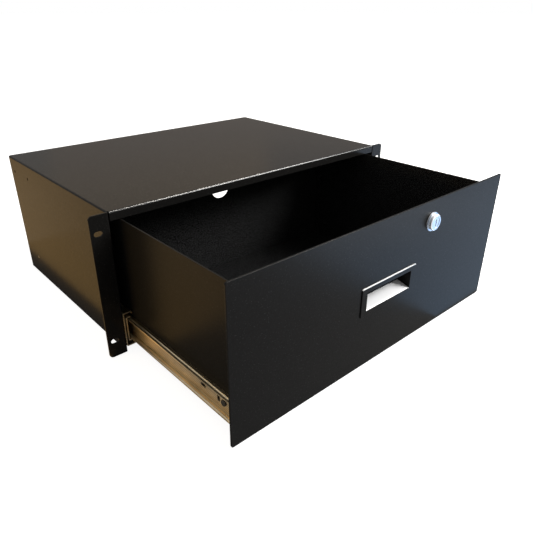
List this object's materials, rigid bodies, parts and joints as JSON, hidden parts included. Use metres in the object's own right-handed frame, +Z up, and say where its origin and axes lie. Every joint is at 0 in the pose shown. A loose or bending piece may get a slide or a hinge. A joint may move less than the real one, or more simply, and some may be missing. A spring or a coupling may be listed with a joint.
{
  "type": "sliding rack drawer",
  "caption": "Rack drawer on ball-bearing slides in a folded steel chassis with rack ears, with a recessed pull, a cam lock and a cable hole in the rear wall.",
  "frame": {"origin": "centre of the four rack slots, on the front face of the ears", "axes": "+X to the right seen from the front, +Y to the rear of the rack, +Z up; the drawer pulls out along -Y"},
  "size_m": [0.4826, 0.5169, 0.1754],
  "materials": {
    "chassis_powder_coat": "satin black powder coat, fine grain",
    "drawer_powder_coat": "satin black powder coat, fine grain",
    "panel_powder_coat": "satin black powder coat, fine grain",
    "pull_black": "smooth black enamel",
    "slide_zinc": "cold rolled steel, zinc plated",
    "cage_steel": "bare strip steel",
    "ball_steel": "polished steel",
    "fastener_zinc": "bright zinc",
    "bumper_rubber": "moulded black rubber",
    "lock_chrome": "polished chrome",
    "lock_steel": "zinc plated steel",
    "fastener_black": "satin black"
  },
  "bodies": {
    "chassis": {"chassis_shell": "chassis_powder_coat", "cabinet_slide_member_left": "slide_zinc", "cabinet_slide_member_right": "slide_zinc", "cabinet_slide_screws_left": "fastener_black", "cabinet_slide_screws_right": "fastener_black", "rear_bumper_left": "bumper_rubber", "rear_bumper_right": "bumper_rubber"},
    "outer_cages": {"outer_ball_cage_left": "cage_steel", "outer_ball_cage_right": "cage_steel", "outer_balls_left": "ball_steel", "outer_balls_right": "ball_steel"},
    "middle_slides": {"middle_slide_member_left": "slide_zinc", "middle_slide_member_right": "slide_zinc"},
    "inner_cages": {"inner_ball_cage_left": "cage_steel", "inner_ball_cage_right": "cage_steel", "inner_balls_left": "ball_steel", "inner_balls_right": "ball_steel"},
    "drawer": {"drawer_slide_member_left": "slide_zinc", "drawer_slide_member_right": "slide_zinc", "drawer_slide_screws_left": "fastener_black", "drawer_slide_screws_right": "fastener_black", "drawer_tray": "drawer_powder_coat", "tray_front_tabs": "drawer_powder_coat", "drawer_back_panel": "drawer_powder_coat", "back_panel_rivets": "fastener_black", "front_panel": "panel_powder_coat", "panel_studs": "fastener_zinc", "panel_nuts": "fastener_zinc", "pull_handle": "pull_black", "handle_washers": "fastener_zinc", "handle_nuts": "fastener_zinc", "lock_housing": "lock_chrome", "lock_washer": "fastener_zinc", "lock_nut": "lock_steel"},
    "lock_core": {"lock_plug": "lock_chrome", "lock_cam": "lock_steel", "cam_screw": "fastener_zinc"}
  },
  "joints": [
    {"name": "middle_slide", "type": "slide", "parent": "chassis", "child": "middle_slides", "axis": [0, -1, 0], "range_m": [0, 0.0965]},
    {"name": "outer_cage_slide", "type": "slide", "parent": "chassis", "child": "outer_cages", "axis": [0, -1, 0], "range_m": [0, 0.04825]},
    {"name": "drawer_slide", "type": "slide", "parent": "middle_slides", "child": "drawer", "axis": [0, 1, 0], "range_m": [0, 0.2009]},
    {"name": "inner_cage_slide", "type": "slide", "parent": "middle_slides", "child": "inner_cages", "axis": [0, 1, 0], "range_m": [0, 0.10045]},
    {"name": "lock_turn", "type": "hinge", "parent": "drawer", "child": "lock_core", "pos_m": [0.07, -0.1934, 0.06185], "axis": [0, 1, 0], "range_deg": [0, 90]}
  ],
  "couplings": [
    {"joint": "outer_cage_slide", "follows": "middle_slide", "ratio": 0.5},
    {"joint": "inner_cage_slide", "follows": "drawer_slide", "ratio": 0.5}
  ]
}
